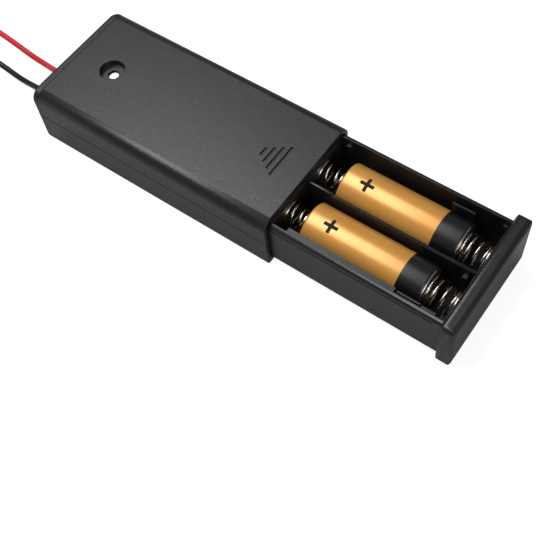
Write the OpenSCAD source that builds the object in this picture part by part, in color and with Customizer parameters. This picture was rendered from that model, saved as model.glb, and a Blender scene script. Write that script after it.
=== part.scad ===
// Two-cell holder: a moulded sleeve with a slide-out tray that holds two short
// cylindrical cells side by side, with a red and a black lead at its closed end.
// X runs along the sleeve to its mouth, Y across it and Z up.
// The origin is the middle of the sleeve's underside.

/* [Cells] */
// Diameter of a cell
cell_d = 10.3; // [9.5:0.1:12]
// Length of a cell over its positive button
cell_l = 28.5; // [24:0.5:46]
// Diameter of the positive button
button_d = 4.6; // [4.4:0.1:6]
// Height of the positive button
button_h = 1; // [0.6:0.1:1.4]
// How far the near cell is pushed towards the front plate
near_push = 0.4; // [0:0.1:1.2]
// How far the far cell is pushed towards the front plate
far_push = 1; // [0:0.1:1.2]

/* [Tray] */
// Play of a cell across its channel
cell_play = 1; // [0.4:0.1:1.6]
// Thickness of the tray's floor
floor_t = 1; // [0.9:0.1:1.6]
// Width of the near wall's top ledge
ledge_w = 2.1; // [1.9:0.1:3]
// Thickness of the tray's thin side walls
tray_wall = 1.1; // [0.9:0.1:1.3]
// Thickness of the tray's end wall
end_wall = 1.5; // [1.3:0.1:2.5]
// Thickness of the wall between the channels
divider_t = 0.8; // [0.8:0.1:2]
// How far the divider's top stands below the rim
divider_drop = 0.6; // [0.3:0.1:2]
// Extra drop of the divider's top past its step
divider_step = 0.5; // [0.2:0.1:1]
// Thickness of the front plate
plate_t = 3.5; // [2.5:0.1:5]
// Edge radius of the front plate
plate_edge_r = 1.2; // [0.6:0.1:1.2]
// Height of the front plate's lower edge above the sleeve's underside
plate_lift = 0.8; // [0.4:0.1:1.4]
// How far the tray is drawn out of the sleeve
tray_out = 39.3; // [30:0.1:39.3]
// Gap between the tray and the sleeve, all round
slide_gap = 0.15; // [0.1:0.05:0.2]
// Gap under the tray and over it
slide_lift = 0.2; // [0.15:0.05:0.3]

/* [Sleeve] */
// Thickness of the sleeve's side walls
side_wall = 1.05; // [0.95:0.05:1.6]
// Thickness of the sleeve's top wall
top_wall = 1.1; // [0.9:0.1:1.6]
// Thickness of the sleeve's bottom wall
bottom_wall = 1.6; // [1.2:0.1:2.4]
// Radius of the sleeve's long top edges
top_edge_r = 2.6; // [1.4:0.1:2.8]
// Radius of the sleeve's long bottom edges
bottom_edge_r = 0.8; // [0.4:0.1:1.2]
// Radius of the long top edges inside the sleeve
inside_edge_r = 1; // [0.6:0.1:1.2]
// Length of the chamber behind the closed tray
chamber_l = 20.4; // [19:0.2:30]
// Height of the joint between the shells
seam_z = 7.6; // [6.6:0.1:8.4]
// Width of the visible line at that joint
seam_gap = 0.15; // [0.05:0.05:0.3]
// Height of the lower shell's tongue in the upper shell
tongue_h = 0.9; // [0.6:0.1:1.4]
// Thickness of that tongue
tongue_t = 0.45; // [0.35:0.05:0.5]
// Thickness of the end cap
cap_t = 1.9; // [1.6:0.1:3]
// Rear edge radius of the end cap
cap_edge_r = 0.9; // [0.4:0.1:1.2]
// Depth of the end cap's spigot in the shells
spigot_l = 2.2; // [1.2:0.1:3]
// Thickness of that spigot
spigot_t = 0.9; // [0.6:0.1:1.2]
// Clearance of the spigot in the shells
spigot_gap = 0.1; // [0.05:0.05:0.2]

/* [Arrow mark] */
// Distance of the widest bar from the mouth
arrow_x = 6.3; // [3:0.1:20]
// Distance between two bars
arrow_pitch = 1.5; // [1:0.1:2]
// Width of a bar
bar_w = 0.45; // [0.3:0.05:0.8]
// Length of the widest bar
bar_l = 8.2; // [7:0.1:12]
// Depth of the bars
bar_depth = 0.35; // [0.2:0.05:0.5]
// Number of bars
bars = 4; // [2:1:5]

/* [Case screw] */
// Distance of the screw's axis from the closed end
screw_x = 11.4; // [10.4:0.1:12]
// Diameter of the recess in the top
recess_d = 5.6; // [4.6:0.1:6.2]
// Depth of that recess
recess_depth = 1.5; // [0.8:0.1:2]
// Diameter of the hole in the upper shell's boss
boss_hole_d = 2.4; // [2.2:0.1:3]
// Thread clearance all round the screw in that hole
thread_gap = 0.05; // [0.02:0.01:0.1]
// Depth of the screw's end below the recess
screw_end_depth = 0.6; // [0.4:0.1:2.5]
// Wall of the boss and of the post round their holes
boss_wall = 1.3; // [1:0.1:1.6]
// Diameter of the screw's head
head_d = 4.2; // [3.8:0.1:5]
// Height of the screw's head
head_h = 1.6; // [1.2:0.1:2]
// Depth of the head's seat above the underside
head_seat = 2.3; // [2:0.1:3]
// Clearance round the head and the shank
screw_gap = 0.15; // [0.1:0.05:0.3]
// Height of the face where the post meets the boss
post_z = 5.5; // [4:0.1:6.4]

/* [Contacts] */
// Thickness of the contact plates and strips
contact_t = 0.35; // [0.2:0.05:0.4]
// Wire diameter of the springs
wire_d = 0.5; // [0.4:0.05:0.7]
// Pressed length of a spring at a positive end
plus_spring_l = 3.85; // [3.4:0.05:6]
// Pressed length of a spring at a negative end
minus_spring_l = 6.65; // [6:0.05:9]
// Radius of a positive end's spring on its plate
plus_base_r = 3.1; // [2.8:0.1:4.2]
// Radius of that spring on the cell's button
plus_tip_r = 1.95; // [1.6:0.05:2]
// Radius of a negative end's spring on its plate
minus_base_r = 2.7; // [2.6:0.1:4]
// Radius of that spring on the cell
minus_tip_r = 3.9; // [3:0.1:4.1]
// Turns of a spring at a positive end
plus_turns = 3.5; // [3:0.5:4.5]
// Turns of a spring at a negative end
minus_turns = 5; // [4:0.5:6.5]
// Width of the strips and of the tabs at the tray's back
strip_w = 2.4; // [1.6:0.1:3]
// Height of the contact pads on the tray's back
pad_h = 4; // [3:0.1:5]
// Radius of the bow of a leaf contact
leaf_r = 4.7; // [4.3:0.1:6]
// How far that bow stands out of its tabs
leaf_bow = 2.2; // [1.6:0.1:2.6]
// Height of a leaf contact
leaf_h = 4; // [3:0.1:4.4]

/* [Leads] */
// Diameter of a lead over its insulation
lead_d = 1.35; // [1:0.05:1.4]
// Clearance of a lead in its hole
lead_gap = 0.15; // [0.1:0.05:0.3]
// Radius of a coil at the middle of its turns
coil_r = 6; // [6:0.1:6.3]
// Diameter of the tinned strands at a lead's end
tip_d = 0.45; // [0.3:0.05:0.8]
// Length of those strands
tip_l = 5; // [3:0.5:8]

/* [Hidden] */
$fn = 48;

black_plastic = [0.13, 0.13, 0.14];
nickel = [0.75, 0.74, 0.71];
tinned = [0.8, 0.8, 0.78];
red_pvc = [0.85, 0.08, 0.08];
black_pvc = [0.06, 0.06, 0.06];
gold_wrap = [0.86, 0.6, 0.28];

// Cuts run this far past a face
over = 1;

// Tray across: two channels, the divider, and a side zone as wide as the ledge
channel_w = cell_d + cell_play;
tray_w = 2 * channel_w + divider_t + 2 * ledge_w;
cell_y = divider_t / 2 + channel_w / 2;
// Tray up: the cells stand just below its rim
cell_lift = 0.05;
rim_clear = 0.05;
tray_h = floor_t + cell_lift + cell_d + rim_clear;
tray_z = bottom_wall + slide_lift;
floor_z = tray_z + floor_t;
rim_z = tray_z + tray_h;
cell_z = floor_z + cell_lift + cell_d / 2;
// Tray along: two contact plates, two springs and a cell, behind the end wall
inside_l = 2 * contact_t + plus_spring_l + cell_l + minus_spring_l;
tray_l = end_wall + inside_l;

// Clearance of the tongue in the upper shell
tongue_gap = 0.03;

// Sleeve from the tray
sleeve_w = tray_w + 2 * (slide_gap + side_wall);
sleeve_h = tray_z + tray_h + slide_lift + top_wall;
sleeve_l = cap_t + chamber_l + tray_l;
mouth_x = sleeve_l / 2;
closed_x = -sleeve_l / 2;
shell_x = closed_x + cap_t;
inside_w = sleeve_w - 2 * side_wall;
roof_z = sleeve_h - top_wall;

// Tray's place along X
plate_x = mouth_x + tray_out;
back_x = plate_x - tray_l;
plus_face_x = back_x + end_wall + contact_t;
cell_x = plus_face_x + plus_spring_l;
cell_end_x = cell_x + cell_l;
minus_face_x = cell_end_x + minus_spring_l;
shoulder_x = cell_x + button_h;

// Details of the tray's walls
fin_t = 0.4;
fin_l = 5;
fin_inset = 7.5;
near_fin_drop = 0.6;
far_fin_drop = 1.6;
front_block_l = 3;
front_block_w = ledge_w - 0.5;
front_block_gap = 2.1;
back_rib_l = 1.7;
rib_t = 0.9;
rib_w = 1.2;
rail_drop = 1.05;
rail_groove_h = 0.35;
rail_groove_t = 0.3;
rail_end = 1.8;
rail_edge_r = inside_edge_r - slide_gap;
step_x = back_x + end_wall + 6.4;
strip_groove_t = 0.5;
strip_play = 0.2;
strip_lift = 0.15;
plate_play = 0.1;
// Rounding of the divider's top: a little more than half its thickness
divider_r = divider_t / 2 + 0.05;
divider_round_h = 0.3;

// Turns wound close at each end of a spring, and the gap between them
plus_close = 0.25;
minus_close = 0.75;
close_gap = 0.1;

// Polarity marks on the channel floors: a ring and a cross
mark_r = 2.3;
mark_line = 0.35;
mark_depth = 0.15;
mark_arm = 1.2;
mark_inset = 11;

// Case screw
hole_x = closed_x + screw_x;
shank_d = boss_hole_d - 2 * thread_gap;
recess_z = sleeve_h - recess_depth;
screw_end_z = recess_z - screw_end_depth;
boss_d = recess_d + 2 * boss_wall;
post_d = head_d + 2 * screw_gap + 2 * boss_wall;
drive_w = 0.7;
drive_l = 2.4;
drive_depth = 0.9;

// Leaf contacts, drawn as the closed tray presses them
stop_gap = 0.15;
closed_back_x = mouth_x + stop_gap - tray_l;
leaf_gap = 0.1;
leaf_x = closed_back_x - leaf_gap - leaf_bow;
leaf_half = sqrt(leaf_r * leaf_r - (leaf_r - leaf_bow) * (leaf_r - leaf_bow));
leaf_tab = 1.6;
leaf_z = bottom_wall + slide_lift + floor_t + 0.6;
leaf_post_w = 1.8;
leaf_post_slot = 0.1;
leaf_post_top = 1.6;
solder_r = 0.9;

// Leads: where they leave the end cap, and their coils
lead_z = 5.5;
red_y = -2.2;
black_y = -8.6;
hole_step = lead_gap + lead_d / 2;
tie_t = 0.3;
tie_w = 1.8;
tie_gap = 0.1;
coil_rise = 1.4;
red_turns = 2.25;
black_turns = 2.4;
red_coil_at = [-78.25, -3.5];
black_coil_at = [-64.25, -11.3];

// Routes of the leads outside the holder, relative to the closed end's face
red_route = [[0, -2.2, 5.5], [-2.6, -2.2, 5.45], [-5.2, -1.95, 4.9], [-7.8, -1.4, 3.95],
             [-10.4, -0.75, 2.85], [-13.1, -0.1, 1.8], [-16, 0.4, 1.1], [-19, 0.75, 0.76],
             [-22, 1.1, 0.7], [-25, 1.45, 0.7], [-28.3, 1.8, 0.7], [-32, 2.1, 0.7],
             [-35.5, 2.3, 0.72], [-39, 2.43, 0.83], [-42.3, 2.5, 0.98]];
black_route = [[0, -8.6, 5.5], [-2.6, -8.5, 5.4], [-5.2, -8.15, 4.8], [-7.8, -7.65, 3.85],
               [-10.5, -7.1, 2.75], [-13.2, -6.65, 1.75], [-16, -6.25, 1], [-19, -5.9, 0.72],
               [-22, -5.6, 0.7], [-25, -5.4, 0.8], [-28.3, -5.3, 0.98]];
red_tail_route = [[-84.25, -7.6, 3.9], [-84.25, -9.2, 3.3], [-84.3, -10.85, 2.3], [-84.4, -12.4, 1.4],
                  [-84.55, -13.8, 0.85], [-84.75, -15.35, 0.7]];
black_tail_route = [[-64.65, -18.55, 4.15], [-63.3, -19.5, 3.6], [-61.6, -20.65, 2.55], [-59.9, -21.75, 1.5],
                    [-58, -22.85, 0.85], [-55.9, -23.8, 0.7], [-53.5, -24.5, 0.7], [-49.85, -25.05, 0.7]];

function unit(v) = v / norm(v);
function heading(p, i) = unit(p[min(i + 1, len(p) - 1)] - p[max(i - 1, 0)]);
function side_of(t) = unit(cross(t, [0, 0, 1]));
function ring_at(p, i, r, n) =
    let (t = heading(p, i), s = side_of(t), u = cross(s, t))
    [for (k = [0:n - 1]) p[i] + r * (cos(360 * k / n) * s + sin(360 * k / n) * u)];
function tube_faces(rings, n) = concat(
    [[for (k = [n - 1:-1:0]) k]],
    [for (i = [0:rings - 2], k = [0:n - 1])
        [i * n + k, i * n + (k + 1) % n, (i + 1) * n + (k + 1) % n, (i + 1) * n + k]],
    [[for (k = [0:n - 1]) (rings - 1) * n + k]]);

// A round tube along the points of a route
module tube(p, d, n = 8) {
    points = [for (i = [0:len(p) - 1]) each ring_at(p, i, d / 2, n)];
    polyhedron(points = points, faces = tube_faces(len(p), n), convexity = 6);
}

function moved(p, x) = [for (q = p) [q[0] + x, q[1], q[2]]];

// A conical spring along X, from radius r0 at x = 0 to r1 at x = l. At each end half a turn lies
// flat and some more is wound close, and the turns between them stand open.
function spring_rise(t, turns, close, l) =
    let (open = turns - 1 - 2 * close, step = wire_d + close_gap, free = l - wire_d - 2 * close * step)
    step * min(close, max(0, t - 0.5)) + free * min(1, max(0, (t - 0.5 - close) / open))
    + step * min(close, max(0, t - turns + 0.5 + close));
function spring_point(t, turns, close, l, r0, r1) =
    let (r = r0 + (r1 - r0) * t / turns, x = wire_d / 2 + spring_rise(t, turns, close, l))
    [x, r * cos(360 * t), r * sin(360 * t)];
function spring_ring(t, turns, close, l, r0, r1, n) =
    let (e = 0.01, p = spring_point(t, turns, close, l, r0, r1),
         q = spring_point(t + e, turns, close, l, r0, r1), o = spring_point(t - e, turns, close, l, r0, r1),
         h = unit(q - o), s = unit(cross(h, [1, 0, 0])), u = cross(s, h))
    [for (k = [0:n - 1]) p + wire_d / 2 * (cos(360 * k / n) * s + sin(360 * k / n) * u)];

module spring(turns, close, l, r0, r1) {
    n = 8;
    steps = round(turns * 16);
    points = [for (i = [0:steps]) each spring_ring(turns * i / steps, turns, close, l, r0, r1, n)];
    polyhedron(points = points, faces = tube_faces(steps + 1, n), convexity = 10);
}

// Section across the sleeve: rt rounds its top corners and rb its bottom ones
module rounded_section(w, h, rt, rb) {
    translate([-w / 2, rb]) square([w, h - rt - rb]);
    translate([-w / 2 + rt, h - rt - rb]) square([w - 2 * rt, rt + rb]);
    translate([-w / 2 + rb, 0]) square([w - 2 * rb, h - rt]);
    for (s = [-1, 1]) {
        translate([s * (w / 2 - rt), h - rt]) circle(r = rt);
        translate([s * (w / 2 - rb), rb]) circle(r = rb);
    }
}

// Draws a YZ section along X, from x = 0
module along_x(l) {
    rotate([90, 0, 90]) linear_extrude(height = l) children();
}

module box(x0, x1, y0, y1, z0, z1) {
    translate([x0, y0, z0]) cube([x1 - x0, y1 - y0, z1 - z0]);
}

module hollow_section() {
    translate([0, bottom_wall])
        rounded_section(inside_w, roof_z - bottom_wall, inside_edge_r, inside_edge_r / 4);
}

module shell_tube() {
    translate([shell_x, 0, 0]) along_x(sleeve_l - cap_t) difference() {
        rounded_section(sleeve_w, sleeve_h, top_edge_r, bottom_edge_r);
        hollow_section();
    }
}

// The lower shell's tongue stands along the inside of both walls
module tongue_band() {
    half = inside_w / 2 + tongue_t;
    box(shell_x - over, mouth_x + over, -half, half, seam_z - over, seam_z + tongue_h);
}

module tongue_room(s) {
    outer = inside_w / 2 + tongue_t + tongue_gap;
    inner = inside_w / 2 - over;
    box(shell_x - over, mouth_x + over, s > 0 ? inner : -outer, s > 0 ? outer : -inner,
        seam_z - over, seam_z + tongue_h + tongue_gap);
}

module arrow_bars() {
    for (i = [0:bars - 1]) {
        half = bar_l / 2 * (1 - i / bars);
        x = mouth_x - arrow_x - i * arrow_pitch;
        box(x - bar_w / 2, x + bar_w / 2, -half, half, sleeve_h - bar_depth, sleeve_h + over);
    }
}

module upper_shell() {
    color(black_plastic) difference() {
        union() {
            intersection() {
                shell_tube();
                box(shell_x - over, mouth_x + over, -sleeve_w, sleeve_w, seam_z + seam_gap, sleeve_h + over);
            }
            translate([hole_x, 0, post_z]) cylinder(d = boss_d, h = roof_z - post_z + top_wall / 2);
        }
        for (s = [-1, 1]) tongue_room(s);
        translate([hole_x, 0, recess_z]) cylinder(d = recess_d, h = recess_depth + over);
        translate([hole_x, 0, post_z - over]) cylinder(d = boss_hole_d, h = sleeve_h);
        arrow_bars();
    }
}

// A slotted post that holds one tab of a leaf contact
module leaf_post(y) {
    top = leaf_z + leaf_h - leaf_post_top;
    difference() {
        translate([leaf_x - leaf_post_w / 2 - contact_t / 2, y - leaf_post_w / 2, bottom_wall - 0.2])
            cube([leaf_post_w, leaf_post_w, top - bottom_wall + 0.2]);
        box(leaf_x - contact_t - leaf_post_slot, leaf_x + leaf_post_slot, y - leaf_post_w, y + leaf_post_w,
            leaf_z, sleeve_h);
    }
}

function leaf_post_y(s, side) = s * cell_y + side * (leaf_half + leaf_tab / 2);

module lower_shell() {
    color(black_plastic) difference() {
        union() {
            intersection() {
                shell_tube();
                union() {
                    box(shell_x - over, mouth_x + over, -sleeve_w, sleeve_w, -over, seam_z);
                    tongue_band();
                }
            }
            translate([hole_x, 0, bottom_wall / 2]) cylinder(d = post_d, h = post_z - bottom_wall / 2);
            for (s = [-1, 1], side = [-1, 1]) leaf_post(leaf_post_y(s, side));
        }
        translate([hole_x, 0, -over]) cylinder(d = boss_hole_d + 2 * screw_gap, h = sleeve_h);
        translate([hole_x, 0, -over]) cylinder(d = head_d + 2 * screw_gap, h = head_seat + over);
    }
}

// The cap's plate, rounded at its rear edge
module cap_plate() {
    r = cap_edge_r;
    hull() {
        translate([shell_x - (cap_t - r), 0, 0]) along_x(cap_t - r)
            rounded_section(sleeve_w, sleeve_h, top_edge_r, bottom_edge_r, $fn = 32);
        translate([closed_x + r * (1 - cos(45)), 0, 0]) along_x(r * cos(45))
            translate([0, r * (1 - cos(45))])
            rounded_section(sleeve_w - 2 * r * (1 - cos(45)), sleeve_h - 2 * r * (1 - cos(45)),
                            top_edge_r, bottom_edge_r, $fn = 32);
        translate([closed_x, 0, 0]) along_x(r)
            translate([0, r])
            rounded_section(sleeve_w - 2 * r, sleeve_h - 2 * r, top_edge_r, bottom_edge_r, $fn = 32);
    }
}

module end_cap() {
    spigot_w = inside_w - 2 * spigot_gap;
    spigot_z = bottom_wall + spigot_gap;
    spigot_h = roof_z - spigot_gap - spigot_z;
    color(black_plastic) difference() {
        union() {
            cap_plate();
            difference() {
                translate([shell_x - 0.2, 0, spigot_z]) along_x(spigot_l + 0.2)
                    rounded_section(spigot_w, spigot_h, inside_edge_r, inside_edge_r / 4);
                translate([shell_x, 0, spigot_z + spigot_t]) along_x(spigot_l + over)
                    rounded_section(spigot_w - 2 * spigot_t, spigot_h - 2 * spigot_t,
                                    inside_edge_r / 4, inside_edge_r / 4);
            }
        }
        for (y = [red_y, black_y])
            translate([closed_x - over, y, lead_z]) rotate([0, 90, 0])
                cylinder(r = hole_step, h = cap_t + 2 * over);
    }
}

// Pan-head screw, driven up from the underside
module case_screw() {
    color(nickel) translate([hole_x, 0, 0]) difference() {
        union() {
            translate([0, 0, head_seat - head_h]) cylinder(d = head_d, h = head_h);
            translate([0, 0, head_seat]) cylinder(d = shank_d, h = screw_end_z - head_seat);
        }
        for (a = [0, 90]) rotate([0, 0, a])
            translate([-drive_l / 2, -drive_w / 2, head_seat - head_h - over])
            cube([drive_l, drive_w, drive_depth + over]);
    }
}

// A bowed leaf with a tab at each end, seen from above
module leaf(y) {
    color(nickel) translate([leaf_x, y, leaf_z]) linear_extrude(height = leaf_h) {
        intersection() {
            translate([leaf_bow - leaf_r, 0]) difference() {
                circle(r = leaf_r, $fn = 96);
                circle(r = leaf_r - contact_t, $fn = 96);
            }
            translate([-contact_t, -leaf_half - contact_t]) square([leaf_bow + over, 2 * (leaf_half + contact_t)]);
        }
        for (s = [-1, 1])
            translate([-contact_t, s > 0 ? leaf_half - contact_t : -leaf_half - leaf_tab])
                square([contact_t, leaf_tab + contact_t]);
    }
}

module positive_leaf() {
    leaf(cell_y);
}

module negative_leaf() {
    leaf(-cell_y);
}

// Solder on the back of a leaf's outer tab, over the post
function solder_at(s) =
    [leaf_x - contact_t, leaf_post_y(s, s), leaf_z + leaf_h - leaf_post_top / 2];

module solder(s, c) {
    color(c) translate(solder_at(s)) intersection() {
        sphere(r = solder_r * 0.85);
        translate([-solder_r, -solder_r, -solder_r]) cube([solder_r, 2 * solder_r, 2 * solder_r]);
    }
}

module red_solder() {
    solder(1, tinned);
}

module black_solder() {
    solder(-1, tinned);
}

// Inside the sleeve each lead runs from its solder joint to its hole in the end cap
red_inside_route = [solder_at(1) - [solder_r * 0.85, 0, 0], solder_at(1) - [3.6, 0.6, 0.6],
                    [hole_x + 0.5, cell_y + 2.6, lead_z + 1], [hole_x - 3, cell_y + 0.6, lead_z + 0.4],
                    [hole_x - 5.6, 3.4, lead_z], [closed_x + 4.4, 0.2, lead_z],
                    [closed_x + 2.6, red_y + 0.5, lead_z], [closed_x + cap_t, red_y, lead_z],
                    [closed_x, red_y, lead_z]];
black_inside_route = [solder_at(-1) - [solder_r * 0.85, 0, 0], solder_at(-1) - [3.6, -0.3, 0.6],
                      [hole_x + 0.5, -cell_y - 3.5, lead_z + 0.9], [hole_x - 4, -cell_y - 2.9, lead_z + 0.3],
                      [closed_x + 4, black_y - 0.15, lead_z], [closed_x + cap_t, black_y, lead_z],
                      [closed_x, black_y, lead_z]];

module red_lead_inside() {
    color(red_pvc) tube(red_inside_route, lead_d);
}

module black_lead_inside() {
    color(black_pvc) tube(black_inside_route, lead_d);
}

module red_lead() {
    color(red_pvc) tube(moved(red_route, closed_x), lead_d);
}

module black_lead() {
    color(black_pvc) tube(moved(black_route, closed_x), lead_d);
}

// Outer shape of a coil of stacked turns
module coil(at, turns) {
    translate([at[0], at[1], tie_t]) difference() {
        cylinder(r = coil_r + lead_d / 2, h = turns * coil_rise + lead_d);
        translate([0, 0, -over]) cylinder(r = coil_r - lead_d / 2, h = turns * coil_rise + lead_d + 2 * over);
    }
}

module red_coil() {
    color(red_pvc) coil(red_coil_at, red_turns);
}

module black_coil() {
    color(black_pvc) coil(black_coil_at, black_turns);
}

module red_tail() {
    color(red_pvc) tube(red_tail_route, lead_d);
}

module black_tail() {
    color(black_pvc) tube(black_tail_route, lead_d);
}

// Tinned strands, in line with the last stretch of a tail
module tip(route) {
    last = len(route) - 1;
    h = unit(route[last] - route[last - 1]);
    color(tinned) translate(route[last]) rotate([0, 0, atan2(h[1], h[0])]) rotate([0, 90, 0])
        cylinder(d = tip_d, h = tip_l);
}

module red_tip() {
    tip(red_tail_route);
}

module black_tip() {
    tip(black_tail_route);
}

// A band round the turns of a coil, at angle a
module tie(at, turns, a) {
    h = turns * coil_rise + lead_d;
    half = lead_d / 2 + tie_gap;
    color([0.1, 0.1, 0.1]) translate([at[0], at[1], 0]) rotate([0, 0, a]) translate([coil_r, 0, 0])
        difference() {
            translate([-half - tie_t, -tie_w / 2, 0]) cube([2 * (half + tie_t), tie_w, h + 2 * tie_t]);
            translate([-half, -tie_w, tie_t]) cube([2 * half, 2 * tie_w, h]);
        }
}

module red_tie() {
    tie(red_coil_at, red_turns, -60);
}

module black_tie() {
    tie(black_coil_at, black_turns, 170);
}

// A rectangle with rounded corners, its lower left corner at the origin
module rounded_plate(w, h, r) {
    translate([r, 0]) square([w - 2 * r, h]);
    translate([0, r]) square([w, h - 2 * r]);
    for (x = [r, w - r], y = [r, h - r]) translate([x, y]) circle(r = r);
}

// Front plate, rounded along every edge
module front_plate() {
    r = plate_edge_r;
    h = sleeve_h - plate_lift;
    translate([plate_x, -sleeve_w / 2, plate_lift]) intersection() {
        rotate([90, 0, 90]) linear_extrude(height = plate_t) rounded_plate(sleeve_w, h, r);
        linear_extrude(height = h) rounded_plate(plate_t, sleeve_w, r);
        translate([0, sleeve_w, 0]) rotate([90, 0, 0]) linear_extrude(height = sleeve_w)
            rounded_plate(plate_t, h, r);
    }
}

// The tray's outer block: its upper long edges are rounded to clear the sleeve's inner corners
module tray_block() {
    translate([back_x, 0, tray_z]) along_x(tray_l + plate_t / 2)
        rounded_section(tray_w, tray_h, rail_edge_r, rail_edge_r / 4);
}

module polarity_mark(x, y) {
    translate([x, y, floor_z - mark_depth]) {
        difference() {
            cylinder(r = mark_r, h = over);
            translate([0, 0, -over]) cylinder(r = mark_r - mark_line, h = 3 * over);
        }
        for (a = [0, 90]) rotate([0, 0, a])
            translate([-mark_arm, -mark_line / 2, 0]) cube([2 * mark_arm, mark_line, over]);
    }
}

module tray_channels() {
    x0 = back_x + end_wall;
    x1 = plate_x;
    near = tray_w / 2 - ledge_w;
    thin = tray_w / 2 - tray_wall;
    block_x0 = x1 - front_block_gap - front_block_l;
    // Near channel, up to the ledge, and its thin stretches at both ends
    box(x0, x1, -near, -divider_t / 2, floor_z, rim_z + over);
    box(x0, x0 + 4.2, -thin, -near + over, floor_z, rim_z + over);
    box(x1 - fin_inset - fin_l + 1.5, block_x0, -thin, -near + over, floor_z, rim_z + over);
    box(block_x0 - over, x1 - front_block_gap, -tray_w / 2 + front_block_w, -near + over, floor_z, rim_z + over);
    box(x1 - front_block_gap, x1, -thin, -near + over, floor_z, rim_z + over);
    // Far channel, as wide as the thin wall lets it be
    box(x0, x1, divider_t / 2, thin, floor_z, rim_z + over);
    // Over the divider, with its step
    box(x0, x1, -divider_t, divider_t, rim_z - divider_drop, rim_z + over);
    box(step_x, x1, -divider_t, divider_t, rim_z - divider_drop - divider_step, rim_z + over);
    // Behind the divider's two ends, for the contact plates
    box(x0, x0 + contact_t + plate_play, -divider_t, divider_t, floor_z, rim_z + over);
    box(x1 - contact_t - plate_play, x1, -divider_t, divider_t, floor_z, rim_z + over);
}

// What rounds the divider's top at height z, from x0 to x1
module divider_rounding(x0, x1, z) {
    difference() {
        box(x0, x1, -divider_r, divider_r, z - divider_round_h, z + over);
        translate([x0 - over, 0, z - divider_r]) rotate([0, 90, 0]) cylinder(r = divider_r, h = x1 - x0 + 2 * over);
    }
}

// Guide fins beside the cells' black ends, blocks and ribs that trap the contact plates
module tray_ribs() {
    near = tray_w / 2 - ledge_w;
    thin = tray_w / 2 - tray_wall;
    base = floor_z - 0.2;
    fin_x = plate_x - fin_inset - fin_l + 1.9;
    box(fin_x, fin_x + fin_l, -near - fin_t, -near, base, rim_z - near_fin_drop);
    box(fin_x - 1.7, fin_x - 1.7 + fin_l, near - 0.1, near - 0.1 + fin_t, base, rim_z - far_fin_drop);
    // Far wall: a rib near each end
    for (x = [plus_face_x + back_rib_l, minus_face_x - 0.1 - rib_t])
        box(x, x + rib_t, thin - rib_w + 0.45, thin + 0.1, base, rim_z - 1.2);
    box(minus_face_x - front_block_gap, minus_face_x - front_block_gap + rib_t,
        -divider_t / 2 - rib_w, -divider_t / 2 + 0.1, base, rim_z - 2.4);
    box(plus_face_x + 0.1, plus_face_x + 0.1 + rib_t, -thin - 0.1, -thin + rib_w - 0.45, base, rim_z - 1.2);
}

module rail_grooves() {
    z = rim_z - rail_drop - rail_groove_h;
    for (s = [-1, 1]) {
        y = s * (tray_w / 2 - rail_groove_t / 2 + over / 2);
        translate([back_x - over, y - (rail_groove_t + over) / 2, z])
            cube([tray_l - rail_end + over, rail_groove_t + over, rail_groove_h]);
    }
}

// Rooms for the strip under the tray, for its turned-up ends and for the positive tab
module strip_rooms() {
    half = strip_w / 2 + strip_play;
    t = contact_t + 0.05;
    box(back_x - over, plate_x, -cell_y - half, -cell_y + half, tray_z - over, tray_z + strip_groove_t);
    box(plate_x - over, plate_x + t, -cell_y - half, -cell_y + half, tray_z + strip_lift, cell_z);
    box(back_x - over, back_x + t, -cell_y - half, -cell_y + half, tray_z - over, leaf_z + pad_h + strip_play);
    box(back_x - over, back_x + t, cell_y - half, cell_y + half, leaf_z - strip_play, leaf_z + pad_h + strip_play);
    box(back_x - over, back_x + end_wall + over, cell_y - half, cell_y + half,
        leaf_z + pad_h - t - strip_play, leaf_z + pad_h + strip_play);
}

module tray() {
    color(black_plastic) difference() {
        union() {
            difference() {
                union() {
                    tray_block();
                    front_plate();
                }
                tray_channels();
            }
            tray_ribs();
        }
        rail_grooves();
        strip_rooms();
        divider_rounding(back_x + end_wall, step_x, rim_z - divider_drop);
        divider_rounding(step_x, plate_x, rim_z - divider_drop - divider_step);
        for (x = [plus_face_x + plus_spring_l + 7, cell_end_x - mark_inset], s = [-1, 1])
            polarity_mark(x, s * cell_y);
    }
}

// Plate across both channels behind the positive springs, with a tab through the end wall
module back_contact() {
    half = tray_w / 2 - tray_wall - plate_play;
    top = leaf_z + pad_h;
    color(nickel) {
        box(plus_face_x - contact_t, plus_face_x, -half, half, floor_z, rim_z - divider_drop - 1);
        box(back_x, plus_face_x - contact_t, cell_y - strip_w / 2, cell_y + strip_w / 2, top - contact_t, top);
        box(back_x, back_x + contact_t, cell_y - strip_w / 2, cell_y + strip_w / 2, leaf_z, top);
    }
}

// Plate across both channels behind the negative springs, with its two ends turned back
module front_contact() {
    half = tray_w / 2 - tray_wall - plate_play;
    color(nickel) {
        box(minus_face_x, minus_face_x + contact_t, -half, half, floor_z, rim_z - divider_drop - 1);
        box(minus_face_x - rib_t, minus_face_x + contact_t / 2, -half, -half + contact_t,
            floor_z, rim_z - divider_drop - 1.4);
    }
}

// Strip under the tray that takes the negative side to the tray's back
module return_strip() {
    z = tray_z + strip_lift;
    y0 = -cell_y - strip_w / 2;
    y1 = -cell_y + strip_w / 2;
    color(nickel) {
        box(back_x, plate_x + contact_t, y0, y1, z, z + contact_t);
        box(back_x, back_x + contact_t, y0, y1, z, leaf_z + pad_h);
        box(plate_x, plate_x + contact_t, y0, y1, z, cell_z - strip_play);
    }
}

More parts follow.
